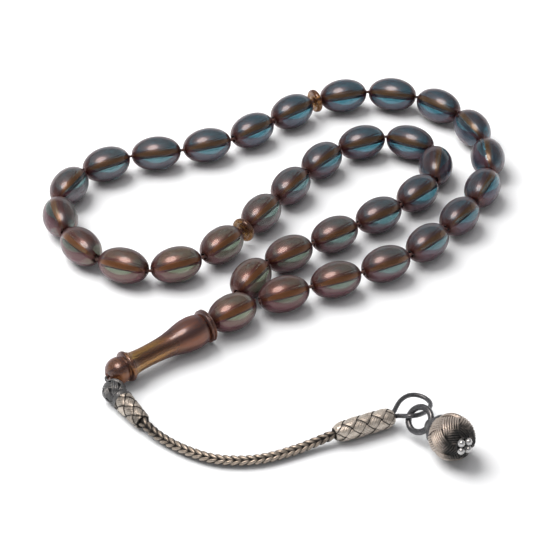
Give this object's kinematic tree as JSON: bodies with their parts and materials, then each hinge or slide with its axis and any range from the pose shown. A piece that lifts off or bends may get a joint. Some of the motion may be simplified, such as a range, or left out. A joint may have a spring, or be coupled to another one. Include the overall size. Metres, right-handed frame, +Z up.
{
  "type": "misbaha prayer beads",
  "caption": "Closed string of smooth olive-shaped resin beads with dividers, a turned head bead and a silver wire tassel, laid on a table.",
  "frame": {"origin": "on the table under the middle of the whole object, its tassel included", "axes": "+Z up from the table; +Y from the tassel towards the far side of the bead loop, the longest way; +X to the right, seen from the tassel"},
  "size_m": [0.1342, 0.1655, 0.0122],
  "materials": {
    "resin_bead": "polished translucent resin, smoky blue-grey above, copper-brown along the bore",
    "amber_resin": "polished translucent honey-amber resin",
    "string": "twisted dark red-brown cord",
    "silver_braid": "oxidised woven silver wire, bright on the high spots, dark in the gaps",
    "dark_silver": "darkened silver wire"
  },
  "bodies": {
    "strand_1": {"string_1": "string"},
    "strand_2": {"string_2": "string"},
    "strand_3": {"string_3": "string"},
    "strand_4": {"string_4": "string"},
    "strand_5": {"string_5": "string"},
    "strand_6": {"string_6": "string"},
    "strand_7": {"string_7": "string"},
    "strand_8": {"string_8": "string"},
    "strand_9": {"string_9": "string"},
    "neck": {"string_neck": "string"},
    "imame": {"imame": "amber_resin", "imame_collar": "amber_resin", "string_imame": "string"},
    "tassel_top": {"tassel_link": "dark_silver", "knot_ball": "dark_silver", "woven_sleeve_1": "silver_braid"},
    "chain_upper": {"chain_upper": "silver_braid"},
    "chain_lower": {"chain_lower": "silver_braid"},
    "tassel_end": {"woven_sleeve_2": "silver_braid", "wire_loop": "dark_silver"},
    "pendant": {"ball_ring": "dark_silver", "wrapped_ball": "silver_braid", "granule_rosette": "dark_silver"},
    "bead_01": {"bead_01": "resin_bead"},
    "bead_02": {"bead_02": "resin_bead"},
    "bead_03": {"bead_03": "resin_bead"},
    "bead_04": {"bead_04": "resin_bead"},
    "bead_05": {"bead_05": "resin_bead"},
    "bead_06": {"bead_06": "resin_bead"},
    "bead_07": {"bead_07": "resin_bead"},
    "bead_08": {"bead_08": "resin_bead"},
    "bead_09": {"bead_09": "resin_bead"},
    "bead_10": {"bead_10": "resin_bead"},
    "bead_11": {"bead_11": "resin_bead"},
    "divider_1": {"divider_1": "amber_resin"},
    "bead_12": {"bead_12": "resin_bead"},
    "bead_13": {"bead_13": "resin_bead"},
    "bead_14": {"bead_14": "resin_bead"},
    "bead_15": {"bead_15": "resin_bead"},
    "bead_16": {"bead_16": "resin_bead"},
    "bead_17": {"bead_17": "resin_bead"},
    "bead_18": {"bead_18": "resin_bead"},
    "bead_19": {"bead_19": "resin_bead"},
    "bead_20": {"bead_20": "resin_bead"},
    "bead_21": {"bead_21": "resin_bead"},
    "bead_22": {"bead_22": "resin_bead"},
    "divider_2": {"divider_2": "amber_resin"},
    "bead_23": {"bead_23": "resin_bead"},
    "bead_24": {"bead_24": "resin_bead"},
    "bead_25": {"bead_25": "resin_bead"},
    "bead_26": {"bead_26": "resin_bead"},
    "bead_27": {"bead_27": "resin_bead"},
    "bead_28": {"bead_28": "resin_bead"},
    "bead_29": {"bead_29": "resin_bead"},
    "bead_30": {"bead_30": "resin_bead"},
    "bead_31": {"bead_31": "resin_bead"},
    "bead_32": {"bead_32": "resin_bead"},
    "bead_33": {"bead_33": "resin_bead"},
    "neck_bead": {"neck_bead": "resin_bead"}
  },
  "joints": [
    {"name": "left_lobe_swing", "type": "hinge", "parent": "strand_1", "child": "strand_2", "pos_m": [-0.00156, 0.06306, 0.005], "axis": [0, 0, 1], "range_deg": [-8, 8]},
    {"name": "left_lobe_bend_2", "type": "hinge", "parent": "strand_2", "child": "strand_3", "pos_m": [-0.04339, 0.04492, 0.005], "axis": [0, 0, 1], "range_deg": [-10, 10]},
    {"name": "left_lobe_bend_3", "type": "hinge", "parent": "strand_3", "child": "strand_4", "pos_m": [-0.04977, -0.00385, 0.005], "axis": [0, 0, 1], "range_deg": [-11, 11]},
    {"name": "left_lobe_bend_4", "type": "hinge", "parent": "strand_4", "child": "strand_5", "pos_m": [-0.01036, 0.00865, 0.005], "axis": [0, 0, 1], "range_deg": [-10, 10]},
    {"name": "inner_lobe_swing", "type": "hinge", "parent": "strand_5", "child": "strand_6", "pos_m": [-0.00045, 0.02379, 0.005], "axis": [0, 0, 1], "range_deg": [-5, 5]},
    {"name": "inner_lobe_bend_2", "type": "hinge", "parent": "strand_6", "child": "strand_7", "pos_m": [0.01796, 0.04877, 0.005], "axis": [0, 0, 1], "range_deg": [-5, 5]},
    {"name": "inner_lobe_bend_3", "type": "hinge", "parent": "strand_7", "child": "strand_8", "pos_m": [0.03497, 0.02103, 0.005], "axis": [0, 0, 1], "range_deg": [-5, 5]},
    {"name": "inner_lobe_bend_4", "type": "hinge", "parent": "strand_8", "child": "strand_9", "pos_m": [0.00954, 0.00323, 0.005], "axis": [0, 0, 1], "range_deg": [-6, 6]},
    {"name": "neck_swing", "type": "hinge", "parent": "strand_1", "child": "neck", "pos_m": [-0.006, -0.0218, 0.005], "axis": [0, 0, 1], "range_deg": [0, 18]},
    {"name": "imame_swing", "type": "hinge", "parent": "neck", "child": "imame", "pos_m": [-0.01844, -0.031, 0.005], "axis": [0, 0, 1], "range_deg": [-8, 8]},
    {"name": "tassel_swing", "type": "hinge", "parent": "imame", "child": "tassel_top", "pos_m": [-0.04456, -0.05141, 0.00422], "axis": [0, 0, 1], "range_deg": [-60, 0]},
    {"name": "chain_top_bend", "type": "hinge", "parent": "tassel_top", "child": "chain_upper", "pos_m": [-0.0344, -0.0664, 0.0022], "axis": [0, 0, 1], "range_deg": [-14, 7]},
    {"name": "chain_middle_bend", "type": "hinge", "parent": "chain_upper", "child": "chain_lower", "pos_m": [-0.0113, -0.07971, 0.0015], "axis": [0, 0, 1], "range_deg": [-18, 8]},
    {"name": "chain_end_bend", "type": "hinge", "parent": "chain_lower", "child": "tassel_end", "pos_m": [0.0143, -0.0713, 0.0027], "axis": [0, 0, 1], "range_deg": [-14, 7]},
    {"name": "ball_lift", "type": "hinge", "parent": "tassel_end", "child": "pendant", "pos_m": [0.036, -0.0672, 0.00525], "axis": [-0.6313, -0.7015, 0.3307], "range_deg": [0, 35]},
    {"name": "bead_01_spin", "type": "hinge", "parent": "strand_1", "child": "bead_01", "pos_m": [0.00169, -0.0187, 0.005], "axis": [0.9165, 0.4001, 0], "continuous": true},
    {"name": "bead_02_spin", "type": "hinge", "parent": "strand_1", "child": "bead_02", "pos_m": [0.01594, -0.0125, 0.005], "axis": [0.9175, 0.3978, 0], "continuous": true},
    {"name": "bead_03_spin", "type": "hinge", "parent": "strand_1", "child": "bead_03", "pos_m": [0.02986, -0.00564, 0.005], "axis": [0.8739, 0.4861, 0], "continuous": true},
    {"name": "bead_04_spin", "type": "hinge", "parent": "strand_1", "child": "bead_04", "pos_m": [0.04185, 0.00385, 0.005], "axis": [0.6739, 0.7389, 0], "continuous": true},
    {"name": "bead_05_spin", "type": "hinge", "parent": "strand_1", "child": "bead_05", "pos_m": [0.05162, 0.01589, 0.005], "axis": [0.5834, 0.8122, 0], "continuous": true},
    {"name": "bead_06_spin", "type": "hinge", "parent": "strand_1", "child": "bead_06", "pos_m": [0.05913, 0.02937, 0.005], "axis": [0.3822, 0.9241, 0], "continuous": true},
    {"name": "bead_07_spin", "type": "hinge", "parent": "strand_1", "child": "bead_07", "pos_m": [0.06179, 0.04426, 0.005], "axis": [-0.0382, 0.9993, 0], "continuous": true},
    {"name": "bead_08_spin", "type": "hinge", "parent": "strand_1", "child": "bead_08", "pos_m": [0.05831, 0.05912, 0.005], "axis": [-0.4113, 0.9115, 0], "continuous": true},
    {"name": "bead_09_spin", "type": "hinge", "parent": "strand_1", "child": "bead_09", "pos_m": [0.04898, 0.07097, 0.005], "axis": [-0.7913, 0.6114, 0], "continuous": true},
    {"name": "bead_10_spin", "type": "hinge", "parent": "strand_1", "child": "bead_10", "pos_m": [0.0352, 0.07715, 0.005], "axis": [-0.983, 0.1834, 0], "continuous": true},
    {"name": "bead_11_spin", "type": "hinge", "parent": "strand_1", "child": "bead_11", "pos_m": [0.02012, 0.07647, 0.005], "axis": [-0.9622, -0.2724, 0], "continuous": true},
    {"name": "divider_1_spin", "type": "hinge", "parent": "strand_1", "child": "divider_1", "pos_m": [0.01148, 0.07366, 0.005], "axis": [-0.8554, -0.5179, 0], "continuous": true},
    {"name": "bead_12_spin", "type": "hinge", "parent": "strand_1", "child": "bead_12", "pos_m": [0.0044, 0.06803, 0.005], "axis": [-0.7682, -0.6402, 0], "continuous": true},
    {"name": "bead_13_spin", "type": "hinge", "parent": "strand_2", "child": "bead_13", "pos_m": [-0.00754, 0.05816, 0.005], "axis": [-0.7737, -0.6336, 0], "continuous": true},
    {"name": "bead_14_spin", "type": "hinge", "parent": "strand_2", "child": "bead_14", "pos_m": [-0.02084, 0.05057, 0.005], "axis": [-0.9394, -0.3429, 0], "continuous": true},
    {"name": "bead_15_spin", "type": "hinge", "parent": "strand_2", "child": "bead_15", "pos_m": [-0.03571, 0.04642, 0.005], "axis": [-0.9814, -0.1919, 0], "continuous": true},
    {"name": "bead_16_spin", "type": "hinge", "parent": "strand_3", "child": "bead_16", "pos_m": [-0.05008, 0.04105, 0.005], "axis": [-0.8653, -0.5012, 0], "continuous": true},
    {"name": "bead_17_spin", "type": "hinge", "parent": "strand_3", "child": "bead_17", "pos_m": [-0.06013, 0.03014, 0.005], "axis": [-0.4265, -0.9045, 0], "continuous": true},
    {"name": "bead_18_spin", "type": "hinge", "parent": "strand_3", "child": "bead_18", "pos_m": [-0.06155, 0.0156, 0.005], "axis": [0.2452, -0.9695, 0], "continuous": true},
    {"name": "bead_19_spin", "type": "hinge", "parent": "strand_3", "child": "bead_19", "pos_m": [-0.05472, 0.00214, 0.005], "axis": [0.6374, -0.7705, 0], "continuous": true},
    {"name": "bead_20_spin", "type": "hinge", "parent": "strand_4", "child": "bead_20", "pos_m": [-0.04245, -0.00636, 0.005], "axis": [0.9459, -0.3244, 0], "continuous": true},
    {"name": "bead_21_spin", "type": "hinge", "parent": "strand_4", "child": "bead_21", "pos_m": [-0.02793, -0.00591, 0.005], "axis": [0.924, 0.3823, 0], "continuous": true},
    {"name": "bead_22_spin", "type": "hinge", "parent": "strand_4", "child": "bead_22", "pos_m": [-0.01558, 0.00283, 0.005], "axis": [0.6673, 0.7448, 0], "continuous": true},
    {"name": "divider_2_spin", "type": "hinge", "parent": "strand_5", "child": "divider_2", "pos_m": [-0.00958, 0.0097, 0.005], "axis": [0.5944, 0.8041, 0], "continuous": true},
    {"name": "bead_23_spin", "type": "hinge", "parent": "strand_5", "child": "bead_23", "pos_m": [-0.00463, 0.01727, 0.005], "axis": [0.5396, 0.8419, 0], "continuous": true},
    {"name": "bead_24_spin", "type": "hinge", "parent": "strand_6", "child": "bead_24", "pos_m": [0.0038, 0.03026, 0.005], "axis": [0.5491, 0.8358, 0], "continuous": true},
    {"name": "bead_25_spin", "type": "hinge", "parent": "strand_6", "child": "bead_25", "pos_m": [0.01301, 0.04276, 0.005], "axis": [0.6357, 0.7719, 0], "continuous": true},
    {"name": "bead_26_spin", "type": "hinge", "parent": "strand_7", "child": "bead_26", "pos_m": [0.02503, 0.05192, 0.005], "axis": [0.9138, 0.4063, 0], "continuous": true},
    {"name": "bead_27_spin", "type": "hinge", "parent": "strand_7", "child": "bead_27", "pos_m": [0.03939, 0.05185, 0.005], "axis": [0.9093, -0.4162, 0], "continuous": true},
    {"name": "bead_28_spin", "type": "hinge", "parent": "strand_7", "child": "bead_28", "pos_m": [0.04624, 0.04009, 0.005], "axis": [-0.0881, -0.9961, 0], "continuous": true},
    {"name": "bead_29_spin", "type": "hinge", "parent": "strand_7", "child": "bead_29", "pos_m": [0.04027, 0.02671, 0.005], "axis": [-0.6828, -0.7306, 0], "continuous": true},
    {"name": "bead_30_spin", "type": "hinge", "parent": "strand_8", "child": "bead_30", "pos_m": [0.0287, 0.01651, 0.005], "axis": [-0.8108, -0.5854, 0], "continuous": true},
    {"name": "bead_31_spin", "type": "hinge", "parent": "strand_8", "child": "bead_31", "pos_m": [0.016, 0.00761, 0.005], "axis": [-0.8273, -0.5618, 0], "continuous": true},
    {"name": "bead_32_spin", "type": "hinge", "parent": "strand_9", "child": "bead_32", "pos_m": [0.00314, -0.00112, 0.005], "axis": [-0.8271, -0.562, 0], "continuous": true},
    {"name": "bead_33_spin", "type": "hinge", "parent": "strand_9", "child": "bead_33", "pos_m": [-0.00731, -0.01211, 0.005], "axis": [-0.5183, -0.8552, 0], "continuous": true},
    {"name": "neck_bead_spin", "type": "hinge", "parent": "neck", "child": "neck_bead", "pos_m": [-0.01222, -0.0264, 0.005], "axis": [-0.8039, -0.5948, 0], "continuous": true}
  ],
  "couplings": [
    {"joint": "left_lobe_bend_2", "follows": "left_lobe_swing", "ratio": -1.1042},
    {"joint": "left_lobe_bend_3", "follows": "left_lobe_swing", "ratio": 1.1487},
    {"joint": "left_lobe_bend_4", "follows": "left_lobe_swing", "ratio": -1.0445},
    {"joint": "inner_lobe_bend_2", "follows": "inner_lobe_swing", "ratio": -0.6951},
    {"joint": "inner_lobe_bend_3", "follows": "inner_lobe_swing", "ratio": 0.623},
    {"joint": "inner_lobe_bend_4", "follows": "inner_lobe_swing", "ratio": -0.9279}
  ]
}
